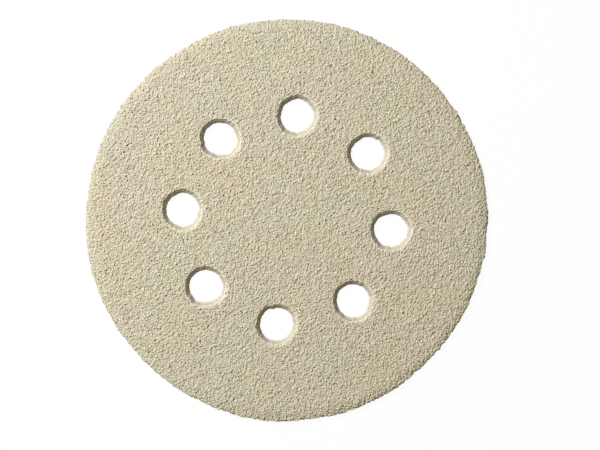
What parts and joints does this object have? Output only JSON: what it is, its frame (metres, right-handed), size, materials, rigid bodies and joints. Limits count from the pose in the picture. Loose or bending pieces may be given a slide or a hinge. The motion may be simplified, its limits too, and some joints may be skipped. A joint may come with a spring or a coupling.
{
  "type": "sanding disc",
  "caption": "Round sanding disc: an abrasive paper on a loop-pile backing that grips a sander's hook-faced pad, with a ring of funnel-mouthed dust holes.",
  "frame": {"origin": "centre of the back face, which grips the sander's pad", "axes": "+Z along the disc's axis, out of the grain side; the first dust hole lies on +X"},
  "size_m": [0.125, 0.125, 0.0022],
  "materials": {
    "grain_coat": "matte, coated all over with cream abrasive grain under a chalky anti-clog coat",
    "loop_pile": "off-white knitted loop pile, laminated to the paper"
  },
  "bodies": {
    "root": {"abrasive_sheet": "grain_coat", "loop_backing": "loop_pile"}
  },
  "joints": []
}
